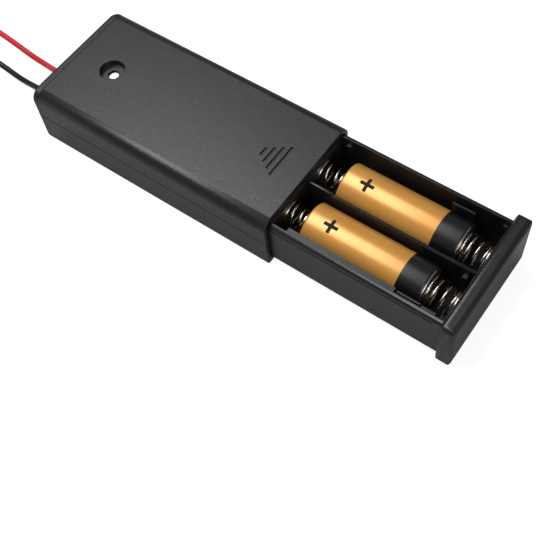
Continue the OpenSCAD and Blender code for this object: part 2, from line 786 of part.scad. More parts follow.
// A cell, with its button towards the sleeve
module cell(y, push) {
    r = cell_d / 2;
    body_l = cell_l - button_h;
    color(gold_wrap) translate([cell_x + push, y, cell_z]) rotate([0, 90, 0]) rotate_extrude($fn = 96)
        polygon([[0, 0], [button_d / 2 - 0.2, 0], [button_d / 2, 0.2], [button_d / 2, button_h],
                 [r - 0.7, button_h], [r - 0.7, button_h - 0.15], [r - 0.3, button_h - 0.15],
                 [r, button_h + 0.3], [r, button_h + body_l - 0.45], [r - 0.2, button_h + body_l - 0.15],
                 [r - 0.5, button_h + body_l], [0, button_h + body_l]]);
}

module near_cell() {
    cell(-cell_y, near_push);
}

module far_cell() {
    cell(cell_y, far_push);
}

module plus_spring(y, push) {
    color(nickel) translate([plus_face_x, y, cell_z])
        spring(plus_turns, plus_close, plus_spring_l + push, plus_base_r, plus_tip_r);
}

module minus_spring(y, push) {
    color(nickel) translate([minus_face_x, y, cell_z]) mirror([1, 0, 0])
        spring(minus_turns, minus_close, minus_spring_l - push, minus_base_r, minus_tip_r);
}

module near_plus_spring() {
    plus_spring(-cell_y, near_push);
}

module far_plus_spring() {
    plus_spring(cell_y, far_push);
}

module near_minus_spring() {
    minus_spring(-cell_y, near_push);
}

module far_minus_spring() {
    minus_spring(cell_y, far_push);
}

upper_shell();
lower_shell();
end_cap();
case_screw();
positive_leaf();
negative_leaf();
red_solder();
black_solder();
red_lead_inside();
black_lead_inside();
red_lead();
black_lead();
red_coil();
black_coil();
red_tail();
black_tail();
red_tip();
black_tip();
red_tie();
black_tie();
tray();
back_contact();
front_contact();
return_strip();
near_cell();
far_cell();
near_plus_spring();
far_plus_spring();
near_minus_spring();
far_minus_spring();
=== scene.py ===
import math

import bmesh
import bpy
from mathutils import Matrix, Vector


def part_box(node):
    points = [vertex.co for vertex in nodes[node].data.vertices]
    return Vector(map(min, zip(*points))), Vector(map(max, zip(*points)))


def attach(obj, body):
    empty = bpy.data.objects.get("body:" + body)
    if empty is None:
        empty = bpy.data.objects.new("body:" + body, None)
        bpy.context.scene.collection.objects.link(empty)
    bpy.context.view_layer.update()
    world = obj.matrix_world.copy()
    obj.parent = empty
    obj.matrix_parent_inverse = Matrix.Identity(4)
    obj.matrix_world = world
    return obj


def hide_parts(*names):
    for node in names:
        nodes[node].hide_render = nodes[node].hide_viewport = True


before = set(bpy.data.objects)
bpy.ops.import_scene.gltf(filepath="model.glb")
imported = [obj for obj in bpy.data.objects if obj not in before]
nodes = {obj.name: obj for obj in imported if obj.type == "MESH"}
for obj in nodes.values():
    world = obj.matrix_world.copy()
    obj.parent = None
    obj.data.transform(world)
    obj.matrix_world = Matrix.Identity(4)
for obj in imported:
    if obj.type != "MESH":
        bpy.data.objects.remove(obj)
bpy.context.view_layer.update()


# ---------------------------------------------------------------- view
# The holder is seen from between its mouth and its near side and from well
# above, through a long lens. The camera is rolled a little.
def in_scene(name, data):
    """An object for a mesh, a curve, a lamp or a camera, linked to the scene at the origin."""
    item = bpy.data.objects.new(name, data)
    bpy.context.scene.collection.objects.link(item)
    return item


eye = Vector((0.0992, -0.0874, 0.1667))
back = Vector((0.3371, -0.3693, 0.866)).normalized()
roll = math.radians(-7.8)
level = Vector((0, 0, 1)).cross(back).normalized()
right = math.cos(roll) * level + math.sin(roll) * back.cross(level)
above = back.cross(right)

lens = bpy.data.cameras.new("view")
lens.sensor_width = 36
lens.lens = 60.8
lens.clip_start = 0.01
lens.clip_end = 20
camera = in_scene("view", lens)
camera.matrix_world = Matrix((right, above, back)).transposed().to_4x4()
camera.location = eye
bpy.context.scene.camera = camera


# ---------------------------------------------------------------- leads
# Two stranded copper leads in PVC, 1.35 mm over the insulation, soldered inside
# and led out of the end cap. They sink to the table and lie along it, and the
# rest of each is wound into a small coil.
closed_end = -0.03175
lead_d = 0.00135
coil_radius = 0.006
coil_rise = 0.0014
tie_t = 0.0003
points_per_turn = 16
red_coil_centre = (-0.07825, -0.0035)
red_coil_turns = 2.25
black_coil_centre = (-0.06425, -0.0113)
black_coil_turns = 2.4


def metres(way, start_x=0.0):
    return [(x / 1000 + start_x, y / 1000, z / 1000) for x, y, z in way]


# In mm: X is counted from the closed end on the way out, and from the origin after the coil
red_way = metres([
    (0, -2.2, 5.5), (-2.6, -2.2, 5.45), (-5.2, -1.95, 4.9), (-7.8, -1.4, 3.95),
    (-10.4, -0.75, 2.85), (-13.1, -0.1, 1.8), (-16, 0.4, 1.1), (-19, 0.75, 0.76),
    (-22, 1.1, 0.7), (-25, 1.45, 0.7), (-28.3, 1.8, 0.7), (-32, 2.1, 0.7),
    (-35.5, 2.3, 0.72), (-39, 2.43, 0.83), (-42.3, 2.5, 0.98)], closed_end)
red_tail_way = metres([
    (-84.25, -7.6, 3.9), (-84.25, -9.2, 3.3), (-84.3, -10.85, 2.3), (-84.4, -12.4, 1.4),
    (-84.55, -13.8, 0.85), (-84.75, -15.35, 0.7)])
black_way = metres([
    (0, -8.6, 5.5), (-2.6, -8.5, 5.4), (-5.2, -8.15, 4.8), (-7.8, -7.65, 3.85),
    (-10.5, -7.1, 2.75), (-13.2, -6.65, 1.75), (-16, -6.25, 1), (-19, -5.9, 0.72),
    (-22, -5.6, 0.7), (-25, -5.4, 0.8), (-28.3, -5.3, 0.98)], closed_end)
black_tail_way = metres([
    (-64.65, -18.55, 4.15), (-63.3, -19.5, 3.6), (-61.6, -20.65, 2.55), (-59.9, -21.75, 1.5),
    (-58, -22.85, 0.85), (-55.9, -23.8, 0.7), (-53.5, -24.5, 0.7), (-49.85, -25.05, 0.7)])


def coil_way(centre, turns):
    """Points of a coil that starts at its centre's +Y side, with a tie's thickness under it."""
    steps = round(turns * points_per_turn)
    way = []
    for i in range(1, steps):
        wound = turns * i / steps
        angle = math.radians(90 + 360 * wound)
        x = centre[0] + coil_radius * math.cos(angle)
        y = centre[1] + coil_radius * math.sin(angle)
        way.append((x, y, tie_t + lead_d / 2 + coil_rise * wound))
    return way


def colour(code):
    """A colour written as sRGB hex, as linear red, green, blue and alpha."""
    parts = [int(code[i:i + 2], 16) / 255 for i in (1, 3, 5)]
    return [p / 12.92 if p <= 0.04045 else ((p + 0.055) / 1.055) ** 2.4 for p in parts] + [1.0]


def add(tree, kind, links=None, **settings):
    """Adds a node with its settings. Links names or numbers its inputs, each with a socket or a value."""
    node = tree.nodes.new(kind)
    for name, value in settings.items():
        setattr(node, name, value)
    for name, value in (links or {}).items():
        socket = node.inputs[name]
        if isinstance(value, bpy.types.NodeSocket):
            tree.links.new(value, socket)
        else:
            socket.default_value = value
    return node


def new_material(name):
    """An empty material, its tree, and the place on the piece that its patterns read."""
    material = bpy.data.materials.new(name)
    material.use_nodes = True
    tree = material.node_tree
    tree.nodes.clear()
    place = add(tree, "ShaderNodeTexCoord").outputs["Object"]
    return material, tree, place


def pvc(name, code, shade):
    # Extruded PVC: IOR 1.53, smooth and slightly glossy, with a colour that is a little uneven
    # along the lead and a faint waviness from the strands under the skin
    mottle_size = 0.00455
    ripple_size = 0.00111
    material, tree, place = new_material(name)
    mottle = add(tree, "ShaderNodeTexNoise", {"Vector": place, "Scale": 1 / mottle_size, "Detail": 2.0})
    ripple = add(tree, "ShaderNodeTexNoise", {"Vector": place, "Scale": 1 / ripple_size, "Detail": 1.0})
    tone = add(tree, "ShaderNodeMix", {
        "Factor": mottle.outputs["Fac"], "A": colour(shade), "B": colour(code)}, data_type="RGBA")
    rough = add(tree, "ShaderNodeMapRange", {"Value": mottle.outputs["Fac"], "To Min": 0.3, "To Max": 0.42})
    bump = add(tree, "ShaderNodeBump", {
        "Height": ripple.outputs["Fac"], "Strength": 0.25, "Distance": 0.00004})
    skin = add(tree, "ShaderNodeBsdfPrincipled", {
        "Base Color": tone.outputs["Result"], "Roughness": rough.outputs["Result"], "IOR": 1.53,
        "Normal": bump.outputs["Normal"]})
    add(tree, "ShaderNodeOutputMaterial", {"Surface": skin.outputs["BSDF"]})
    return material


red_pvc = pvc("red_pvc", "#ec3236", "#dc2226")
black_pvc = pvc("black_pvc", "#1b1b1d", "#101012")


def lead_curve(name, way, skin):
    """A lead, as one smooth curve through the points of its way."""
    curve = bpy.data.curves.new(name, "CURVE")
    curve.dimensions = "3D"
    line = curve.splines.new("BEZIER")
    line.bezier_points.add(len(way) - 1)
    for point, place in zip(line.bezier_points, way):
        point.co = place
        point.handle_left_type = point.handle_right_type = "AUTO"
    line.resolution_u = 4
    curve.bevel_depth = lead_d / 2
    curve.bevel_resolution = 5
    curve.use_fill_caps = True
    curve.materials.append(skin)
    return in_scene(name, curve)


red_coil_way = coil_way(red_coil_centre, red_coil_turns)
black_coil_way = coil_way(black_coil_centre, black_coil_turns)
red_lead = lead_curve("red_lead_outside", red_way + red_coil_way + red_tail_way, red_pvc)
black_lead = lead_curve("black_lead_outside", black_way + black_coil_way + black_tail_way, black_pvc)


# ---------------------------------------------------------------- lead ends
# Each lead's last 5 mm is stripped: seven tinned copper strands, twisted and
# dipped in solder, so they shine dully and keep their lay.
strand_radius = 0.000075


def plated_metal(name, code, pale, low, high, mark_size):
    # A bright metal skin, with fine marks from drawing, rolling or dipping that make its tone and
    # its gloss uneven
    material, tree, place = new_material(name)
    marks = add(tree, "ShaderNodeTexNoise", {"Vector": place, "Scale": 1 / mark_size, "Detail": 3.0})
    tone = add(tree, "ShaderNodeMix", {
        "Factor": marks.outputs["Fac"], "A": colour(code), "B": colour(pale)}, data_type="RGBA")
    rough = add(tree, "ShaderNodeMapRange", {"Value": marks.outputs["Fac"], "To Min": low, "To Max": high})
    skin = add(tree, "ShaderNodeBsdfPrincipled", {
        "Base Color": tone.outputs["Result"], "Metallic": 1.0, "Roughness": rough.outputs["Result"]})
    add(tree, "ShaderNodeOutputMaterial", {"Surface": skin.outputs["BSDF"]})
    return material


# Tin over copper: pale grey, roughened by the dip
tinned = plated_metal("tinned_copper", "#b9b8b4", "#dedddb", 0.22, 0.4, mark_size=0.0002)


def sized_tree(name, sizes):
    """An empty geometry tree with a named input for each size, and those inputs."""
    tree = bpy.data.node_groups.new(name, "GeometryNodeTree")
    tree.interface.new_socket("Geometry", in_out="OUTPUT", socket_type="NodeSocketGeometry")
    for size, value in sizes.items():
        kind = "NodeSocketInt" if isinstance(value, int) else "NodeSocketFloat"
        tree.interface.new_socket(size, in_out="INPUT", socket_type=kind).default_value = value
    return tree, tree.nodes.new("NodeGroupInput").outputs


def end_tree(tree, shape, material):
    """The end of a geometry tree: its shape is made real and gets its material."""
    real = add(tree, "GeometryNodeRealizeInstances", {0: shape})
    done = add(tree, "GeometryNodeSetMaterial", {"Geometry": real.outputs[0], "Material": material})
    add(tree, "NodeGroupOutput", {0: done.outputs[0]})


def made_by(tree, name, material, sizes):
    """Runs a geometry tree once with its sizes, and keeps the result as a plain mesh."""
    start = in_scene(name + "_start", bpy.data.meshes.new(name + "_start"))
    maker = start.modifiers.new(name, "NODES")
    maker.node_group = tree
    for item in tree.interface.items_tree:
        if item.in_out == "INPUT":
            maker[item.identifier] = sizes[item.name]
    bpy.context.view_layer.update()
    shape = start.evaluated_get(bpy.context.evaluated_depsgraph_get())
    mesh = bpy.data.meshes.new_from_object(shape)
    bpy.data.objects.remove(start)
    mesh.name = name
    mesh.materials.clear()
    mesh.materials.append(material)
    mesh.shade_smooth()
    return in_scene(name, mesh)


strand_sizes = {
    "Length": 0.005, "Strand Radius": strand_radius, "Lay Radius": 2 * strand_radius, "Turns": 2.0,
    "Outer Strands": 6}
strands_tree, size = sized_tree("twisted strands", strand_sizes)
spiral = add(strands_tree, "GeometryNodeCurveSpiral", {
    "Resolution": 12, "Rotations": size["Turns"], "Start Radius": size["Lay Radius"],
    "End Radius": size["Lay Radius"], "Height": size["Length"]})
top = add(strands_tree, "ShaderNodeCombineXYZ", {"Z": size["Length"]})
core = add(strands_tree, "GeometryNodeCurvePrimitiveLine", {"End": top.outputs[0]})
# The spiral is copied onto points that all lie on the axis, each copy turned one step further
ring = add(strands_tree, "GeometryNodeMeshCircle", {
    "Vertices": size["Outer Strands"], "Radius": 0.0}, fill_type="NONE")
number = add(strands_tree, "GeometryNodeInputIndex")
step = add(strands_tree, "ShaderNodeMath", {0: 2 * math.pi, 1: size["Outer Strands"]}, operation="DIVIDE")
angle = add(strands_tree, "ShaderNodeMath", {0: number.outputs[0], 1: step.outputs[0]}, operation="MULTIPLY")
turn = add(strands_tree, "ShaderNodeCombineXYZ", {"Z": angle.outputs[0]})
around = add(strands_tree, "GeometryNodeInstanceOnPoints", {
    "Points": ring.outputs["Mesh"], "Instance": spiral.outputs["Curve"], "Rotation": turn.outputs[0]})
both = add(strands_tree, "GeometryNodeJoinGeometry")
strands_tree.links.new(core.outputs["Curve"], both.inputs[0])
strands_tree.links.new(around.outputs["Instances"], both.inputs[0])
wire = add(strands_tree, "GeometryNodeCurvePrimitiveCircle", {
    "Resolution": 8, "Radius": size["Strand Radius"]})
strand = add(strands_tree, "GeometryNodeCurveToMesh", {
    "Curve": both.outputs[0], "Profile Curve": wire.outputs["Curve"], "Fill Caps": True})
end_tree(strands_tree, strand.outputs[0], tinned)


def bare_end(name, way, node):
    """The strands that come out of a lead, lying on in the direction in which its way ends."""
    last, before = Vector(way[-1]), Vector(way[-2])
    ahead = last - before
    ahead.z = 0
    ahead.normalize()
    across = Vector((0, 0, 1)).cross(ahead)
    laid = Matrix((across, ahead.cross(across), ahead)).transposed().to_4x4()
    piece = made_by(strands_tree, name, tinned, strand_sizes)
    piece.data.transform(Matrix.Translation(last) @ laid)
    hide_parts(node)
    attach(piece, "sleeve")
    return piece


red_strands = bare_end("red_strands", red_tail_way, "red_tip")
black_strands = bare_end("black_strands", black_tail_way, "black_tip")


# ---------------------------------------------------------------- coil ties
# A flat nylon band round the turns of each coil, welded shut, 1.8 mm wide and
# 0.3 mm thick, with its edges broken.
tie_width = 0.0018
tie_gap = 0.0001
tie_corner = 0.0006
tie_edge = 0.00006
corner_steps = 6


def nylon(name):
    # Moulded nylon: IOR 1.53, semi-matt, with fine streaks in its tone
    streak_size = 0.000667
    material, tree, place = new_material(name)
    streaks = add(tree, "ShaderNodeTexNoise", {"Vector": place, "Scale": 1 / streak_size, "Detail": 3.0})
    tone = add(tree, "ShaderNodeMix", {
        "Factor": streaks.outputs["Fac"], "A": colour("#161618"), "B": colour("#242427")}, data_type="RGBA")
    bump = add(tree, "ShaderNodeBump", {
        "Height": streaks.outputs["Fac"], "Strength": 0.3, "Distance": 0.00003})
    skin = add(tree, "ShaderNodeBsdfPrincipled", {
        "Base Color": tone.outputs["Result"], "Roughness": 0.48, "IOR": 1.53,
        "Normal": bump.outputs["Normal"]})
    add(tree, "ShaderNodeOutputMaterial", {"Surface": skin.outputs["BSDF"]})
    return material


tie_nylon = nylon("black_nylon")


def rounded_loop(half_width, half_height, radius):
    """The outline of a rounded rectangle about the origin."""
    loop = []
    for corner in range(4):
        x = (half_width - radius) * (1 if corner in (0, 3) else -1)
        z = (half_height - radius) * (1 if corner in (0, 1) else -1)
        for k in range(corner_steps + 1):
            angle = math.radians(90 * (corner + k / corner_steps))
            loop.append((x + radius * math.cos(angle), z + radius * math.sin(angle)))
    return loop


def face_outwards(mesh):
    """Merges a mesh's doubles, and turns all its faces outwards."""
    shape = bmesh.new()
    shape.from_mesh(mesh)
    bmesh.ops.remove_doubles(shape, verts=shape.verts, dist=0.000001)
    bmesh.ops.recalc_face_normals(shape, faces=shape.faces)
    shape.to_mesh(mesh)
    shape.free()


def closed_mesh(name, shape, material):
    """The mesh of a closed bmesh, smooth and with its material."""
    mesh = bpy.data.meshes.new(name)
    shape.to_mesh(mesh)
    shape.free()
    face_outwards(mesh)
    mesh.materials.append(material)
    mesh.shade_smooth()
    return mesh


def round_edges(piece, width, degrees):
    """Bevels the edges at which a piece turns by more than so many degrees."""
    edge = piece.modifiers.new("edge", "BEVEL")
    edge.width = width
    edge.segments = 2
    edge.limit_method = "ANGLE"
    edge.angle_limit = math.radians(degrees)
    edge.harden_normals = True


def coil_tie(name, centre, turns, degrees, node):
    """A band round all the turns of a coil, at a place so many degrees round from +X."""
    half_width = lead_d / 2 + tie_gap
    half_height = (turns * coil_rise + lead_d) / 2
    inner = rounded_loop(half_width, half_height, tie_corner)
    outer = rounded_loop(half_width + tie_t, half_height + tie_t, tie_corner + tie_t)
    seat = (Matrix.Translation((centre[0], centre[1], half_height + tie_t))
            @ Matrix.Rotation(math.radians(degrees), 4, "Z") @ Matrix.Translation((coil_radius, 0, 0)))
    shape = bmesh.new()
    rows = []
    for loop, side in ((inner, -1), (inner, 1), (outer, 1), (outer, -1)):
        rows.append([shape.verts.new(seat @ Vector((x, side * tie_width / 2, z))) for x, z in loop])
    for here, there in zip(rows, rows[1:] + rows[:1]):
        for k in range(len(here)):
            shape.faces.new((here[k - 1], here[k], there[k], there[k - 1]))
    piece = in_scene(name, closed_mesh(name, shape, tie_nylon))
    round_edges(piece, tie_edge, 30)
    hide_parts(node)
    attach(piece, "sleeve")
    return piece


red_band = coil_tie("red_coil_tie", red_coil_centre, red_coil_turns, -60, "red_tie")
black_band = coil_tie("black_coil_tie", black_coil_centre, black_coil_turns, 170, "black_tie")

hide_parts("red_lead", "red_coil", "red_tail")
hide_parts("black_lead", "black_coil", "black_tail")
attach(red_lead, "sleeve")
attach(black_lead, "sleeve")


# ---------------------------------------------------------------- mouldings
# Sleeve shells, end cap and tray are injection-moulded black ABS. The shells'
# and the tray's edges are softened here by a tenth of a millimetre or so, and
# the end cap is rounded in the part itself.
top_edge = 0.00015
fine_edge = 0.00012


def moulded_abs(name, code, pale, rough_low, rough_high):
    # ABS from a spark-eroded tool: IOR 1.53, with a fine even grain that breaks a highlight up, and
    # faint clouds where the plastic flowed. The real grain is finer; it is 0.4 mm here to show
    grain = 0.0004
    cloud_size = 0.0222
    material, tree, place = new_material(name)
    grit = add(tree, "ShaderNodeTexNoise", {
        "Vector": place, "Scale": 1 / grain, "Detail": 3.0, "Roughness": 0.6})
    cloud = add(tree, "ShaderNodeTexNoise", {"Vector": place, "Scale": 1 / cloud_size, "Detail": 3.0})
    tone = add(tree, "ShaderNodeMix", {
        "Factor": cloud.outputs["Fac"], "A": colour(code), "B": colour(pale)}, data_type="RGBA")
    rough = add(tree, "ShaderNodeMapRange", {
        "Value": grit.outputs["Fac"], "From Min": 0.3, "From Max": 0.7,
        "To Min": rough_low, "To Max": rough_high})
    bump = add(tree, "ShaderNodeBump", {
        "Height": grit.outputs["Fac"], "Strength": 0.6, "Distance": 0.00004})
    skin = add(tree, "ShaderNodeBsdfPrincipled", {
        "Base Color": tone.outputs["Result"], "Roughness": rough.outputs["Result"], "IOR": 1.53,
        "Normal": bump.outputs["Normal"]})
    add(tree, "ShaderNodeOutputMaterial", {"Surface": skin.outputs["BSDF"]})
    return material


sleeve_abs = moulded_abs("grained_black_abs", "#1b1b1e", "#232326", 0.26, 0.42)
tray_abs = moulded_abs("plain_black_abs", "#161618", "#1c1c1f", 0.27, 0.4)


def dress(name, skin):
    """Gives a node of the part its material."""
    piece = nodes[name]
    piece.data.materials.clear()
    piece.data.materials.append(skin)
    return piece


def soften_edges(piece, width):
    """Joins a node's loose triangles, clears its flat faces of inner edges, and rounds the rest."""
    join = piece.modifiers.new("join", "WELD")
    join.merge_threshold = 0.000002
    flat = piece.modifiers.new("flat", "DECIMATE")
    flat.decimate_type = "DISSOLVE"
    flat.angle_limit = math.radians(0.5)
    round_edges(piece, width, 40)


soften_edges(dress("upper_shell", sleeve_abs), top_edge)
soften_edges(dress("lower_shell", sleeve_abs), fine_edge)
dress("end_cap", sleeve_abs)
soften_edges(dress("tray", tray_abs), fine_edge)


# ---------------------------------------------------------------- contacts
# Plates, strips and bowed leaves of 0.35 mm nickel-plated steel, stamped and
# folded. The case screw is zinc-plated, the solder joints are frozen drops, and
# the leads' inner ends run from them to the end cap.

# Rolled strip is a dull warm grey, zinc a brighter neutral white, and solder pale with an uneven gloss
strip_steel = plated_metal("nickel_plated_strip", "#827e77", "#a19c93", 0.26, 0.42, mark_size=0.000714)
zinc_steel = plated_metal("zinc_plated_steel", "#d2d2d2", "#ededed", 0.25, 0.4, mark_size=0.000556)
frozen_solder = plated_metal("tin_solder", "#b5b5b2", "#d6d6d3", 0.22, 0.45, mark_size=0.000833)

for name in ("positive_leaf", "negative_leaf", "back_contact", "front_contact", "return_strip"):
    dress(name, strip_steel)
for name in ("red_solder", "black_solder"):
    dress(name, frozen_solder)
dress("case_screw", zinc_steel)
dress("red_lead_inside", red_pvc)
dress("black_lead_inside", black_pvc)


# ---------------------------------------------------------------- springs
# Each cell is held between a small conical spring at its button and a larger
# one at its flat end, both wound from 0.5 mm nickel-plated wire. The half turn
# at each end of a spring is wound flat, and the stretch before it lies close.
sides = ("near", "far")
wire_radius = 0.00025
flat_turns = 0.5
close_step = 0.0006
points_per_winding = 44
springs = {
    "plus": {"turns": 3.5, "close_turns": 0.25, "base": 0.0031, "tip": 0.00195},
    "minus": {"turns": 5.0, "close_turns": 0.75, "base": 0.0027, "tip": 0.0039}}

# Drawn and plated wire: smooth, so it shows narrow bright lines
spring_steel = plated_metal("nickel_plated_wire", "#c3b8ac", "#e6ddd4", 0.12, 0.2, mark_size=0.000833)


def spring_sizes(length, turns, close_turns, base, tip):
    """A spring's sizes. Its stretches are given by the turn at which each one starts."""
    close_rise = close_turns * close_step
    opens = flat_turns + close_turns
    return {
        "Turns": turns, "Leaves Seat": flat_turns, "Opens": opens, "Closes": turns - opens,
        "Meets End": turns - flat_turns, "Close Rise": close_rise,
        "Open Rise": length - 2 * wire_radius - 2 * close_rise, "Base Radius": base, "Tip Radius": tip,
        "Wire Radius": wire_radius, "Points": round(turns * points_per_winding)}


# The tree starts out with the sizes of the near plus spring, and each spring then gets its own
low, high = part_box("near_plus_spring")
spring_tree, size = sized_tree("conical spring", spring_sizes(high.x - low.x, **springs["plus"]))
path = add(spring_tree, "GeometryNodeCurvePrimitiveLine")
points = add(spring_tree, "GeometryNodeResampleCurve", {
    "Curve": path.outputs["Curve"], "Count": size["Points"]})
share = add(spring_tree, "GeometryNodeSplineParameter").outputs["Factor"]
# How many turns are wound at a point, and how far along the spring's axis that takes the wire
wound = add(spring_tree, "ShaderNodeMapRange", {"Value": share, "To Max": size["Turns"]}).outputs["Result"]
along = size["Wire Radius"]
for start, end, rise in (("Leaves Seat", "Opens", "Close Rise"), ("Opens", "Closes", "Open Rise"),
                         ("Closes", "Meets End", "Close Rise")):
    stretch = add(spring_tree, "ShaderNodeMapRange", {
        "Value": wound, "From Min": size[start], "From Max": size[end], "To Max": size[rise]})
    risen = add(spring_tree, "ShaderNodeMath", {0: along, 1: stretch.outputs["Result"]}, operation="ADD")
    along = risen.outputs[0]
radius = add(spring_tree, "ShaderNodeMapRange", {
    "Value": share, "To Min": size["Base Radius"], "To Max": size["Tip Radius"]})
angle = add(spring_tree, "ShaderNodeMapRange", {"Value": wound, "To Max": 2 * math.pi}, clamp=False)
unturned = add(spring_tree, "ShaderNodeCombineXYZ", {"X": along, "Y": radius.outputs["Result"]})
place = add(spring_tree, "ShaderNodeVectorRotate", {
    "Vector": unturned.outputs[0], "Angle": angle.outputs["Result"]}, rotation_type="X_AXIS")
coiled = add(spring_tree, "GeometryNodeSetPosition", {
    "Geometry": points.outputs[0], "Position": place.outputs[0]})
wire = add(spring_tree, "GeometryNodeCurvePrimitiveCircle", {
    "Resolution": 12, "Radius": size["Wire Radius"]})
swept = add(spring_tree, "GeometryNodeCurveToMesh", {
    "Curve": coiled.outputs[0], "Profile Curve": wire.outputs["Curve"], "Fill Caps": True})
end_tree(spring_tree, swept.outputs[0], spring_steel)

for kind, spring in springs.items():
    for side in sides:
        node = f"{side}_{kind}_spring"
        low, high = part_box(node)
        cell_low, cell_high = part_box(side + "_cell")
        axis_y = (cell_low.y + cell_high.y) / 2
        axis_z = (cell_low.z + cell_high.z) / 2
        if kind == "plus":
            seat = Matrix.Translation((low.x, axis_y, axis_z))
        else:
            seat = Matrix.Translation((high.x, axis_y, axis_z)) @ Matrix.Scale(-1, 4, (1, 0, 0))
        sizes = spring_sizes(high.x - low.x, **spring)
        piece = made_by(spring_tree, f"{side}_{kind}_coil_spring", spring_steel, sizes)
        piece.data.transform(seat)
        face_outwards(piece.data)
        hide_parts(node)
        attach(piece, "tray")


# ---------------------------------------------------------------- cells
# A short cell is a stack of button cells in a steel can and a thin shrink
# sleeve. The sleeve is printed gold, with a black band at the negative end and
# a plus at the positive end.
cell_low, cell_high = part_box("near_cell")
cell_radius = (cell_high.z - cell_low.z) / 2
cell_height = (cell_high.z + cell_low.z) / 2
facets = 96

# The can, with its button at the positive end and a shallow dish in the flat end
button_height = 0.001
button_radius = 0.0023
button_edge = 0.0002
button_root = 0.0001
can_inset = 0.0003
can_radius = cell_radius - can_inset
can_chamfer = 0.0006
can_edge = 0.0003
dish_radius = 0.0022
dish_wall = 0.0002
dish_depth = 0.00006

# The film of the shrink sleeve. It laps over the shoulder and is cut off just before the flat end,
# and is drawn so thick that it sinks into the can and no gap shows
film_t = 0.0004
film_inset = 0.0006
lap_depth = 0.00085
lap_t = 0.00028
lap_height = 0.00008
lap_edge = 0.0005
rim_inset = 0.00062
rim_edge = 0.0003
lip_inset = 0.00036
lip_depth = 0.00038

# The print: the plus is measured from its middle, and leans to the near side
band_length = 0.0056
plus_from_shoulder = 0.0052
plus_lean = 0.0008
plus_arm = 0.0016
plus_half_stroke = 0.00038
ink_blur = 0.00003


def shrink_foil(name, shoulder, stop, across):
    # Gold metallic ink under a clear film: partly metallic with a glossy coat, faint clouds and fine
    # flakes. The band is black ink under the same film, and the plus is matt black
    flake_size = 0.00025
    cloud_size = 0.00625
    material, tree, place = new_material(name)

    def within(distance, limit):
        """1 where a distance is under its limit and 0 past it, with a printed edge between."""
        return add(tree, "ShaderNodeMapRange", {
            "Value": distance, "From Min": limit - ink_blur, "From Max": limit + ink_blur,
            "To Min": 1.0, "To Max": 0.0}).outputs["Result"]

    # Distances from the middle of the plus, along the cell and round its skin
    plus_x = shoulder + plus_from_shoulder
    centred = add(tree, "ShaderNodeMapping", {"Vector": place, "Location": (-plus_x, -across, -cell_height)})
    x, y, z = add(tree, "ShaderNodeSeparateXYZ", {0: centred.outputs[0]}).outputs
    turn = add(tree, "ShaderNodeMath", {0: y, 1: z}, operation="ARCTAN2")
    round_skin = add(tree, "ShaderNodeMapRange", {
        "Value": turn.outputs[0], "To Min": plus_lean, "To Max": plus_lean + cell_radius}, clamp=False)
    off_x = add(tree, "ShaderNodeMath", {0: x}, operation="ABSOLUTE").outputs[0]
    off_round = add(tree, "ShaderNodeMath", {
        0: round_skin.outputs["Result"]}, operation="ABSOLUTE").outputs[0]
    bar_along = add(tree, "ShaderNodeMath", {
        0: within(off_x, plus_arm), 1: within(off_round, plus_half_stroke)}, operation="MULTIPLY")
    bar_round = add(tree, "ShaderNodeMath", {
        0: within(off_x, plus_half_stroke), 1: within(off_round, plus_arm)}, operation="MULTIPLY")
    plus = add(tree, "ShaderNodeMath", {
        0: bar_along.outputs[0], 1: bar_round.outputs[0]}, operation="MAXIMUM")
    band_start = stop - band_length - plus_x
    band = add(tree, "ShaderNodeMapRange", {
        "Value": x, "From Min": band_start - ink_blur, "From Max": band_start + ink_blur})
    ink = add(tree, "ShaderNodeMath", {0: plus.outputs[0], 1: band.outputs["Result"]}, operation="MAXIMUM")

    flake = add(tree, "ShaderNodeTexNoise", {"Vector": place, "Scale": 1 / flake_size, "Detail": 2.0})
    cloud = add(tree, "ShaderNodeTexNoise", {"Vector": place, "Scale": 1 / cloud_size, "Detail": 2.0})
    gold = add(tree, "ShaderNodeMix", {
        "Factor": cloud.outputs["Fac"], "A": colour("#e0993c"), "B": colour("#efb25e")}, data_type="RGBA")
    printed = add(tree, "ShaderNodeMix", {
        "Factor": ink.outputs[0], "A": gold.outputs["Result"], "B": colour("#0e0e10")}, data_type="RGBA")
    metal = add(tree, "ShaderNodeMapRange", {"Value": ink.outputs[0], "To Min": 0.3, "To Max": 0.0})
    foil_rough = add(tree, "ShaderNodeMapRange", {
        "Value": flake.outputs["Fac"], "To Min": 0.28, "To Max": 0.42})
    rough = add(tree, "ShaderNodeMix", {
        "Factor": plus.outputs[0], "A": foil_rough.outputs["Result"], "B": 0.8})
    gloss = add(tree, "ShaderNodeMapRange", {"Value": plus.outputs[0], "To Min": 0.4, "To Max": 0.0})
    bump = add(tree, "ShaderNodeBump", {
        "Height": cloud.outputs["Fac"], "Strength": 0.08, "Distance": 0.00003})
    skin = add(tree, "ShaderNodeBsdfPrincipled", {
        "Base Color": printed.outputs["Result"], "Metallic": metal.outputs["Result"],
        "Roughness": rough.outputs["Result"], "Coat Weight": gloss.outputs["Result"], "Coat Roughness": 0.2,
        "Normal": bump.outputs["Normal"]})
    add(tree, "ShaderNodeOutputMaterial", {"Surface": skin.outputs["BSDF"]})
    return material


# Drawn and plated steel: a warm white metal with fine marks
cell_steel = plated_metal("cell_nickel_steel", "#b9b3a6", "#d6d0c4", 0.2, 0.34, mark_size=0.0004)


def arc(x, radius, r, start, stop, steps=6):
    """Points of an arc of radius r about (x, radius), between two angles in degrees."""
    angles = [math.radians(start + (stop - start) * k / steps) for k in range(steps + 1)]
    return [(x + r * math.cos(angle), radius + r * math.sin(angle)) for angle in angles]


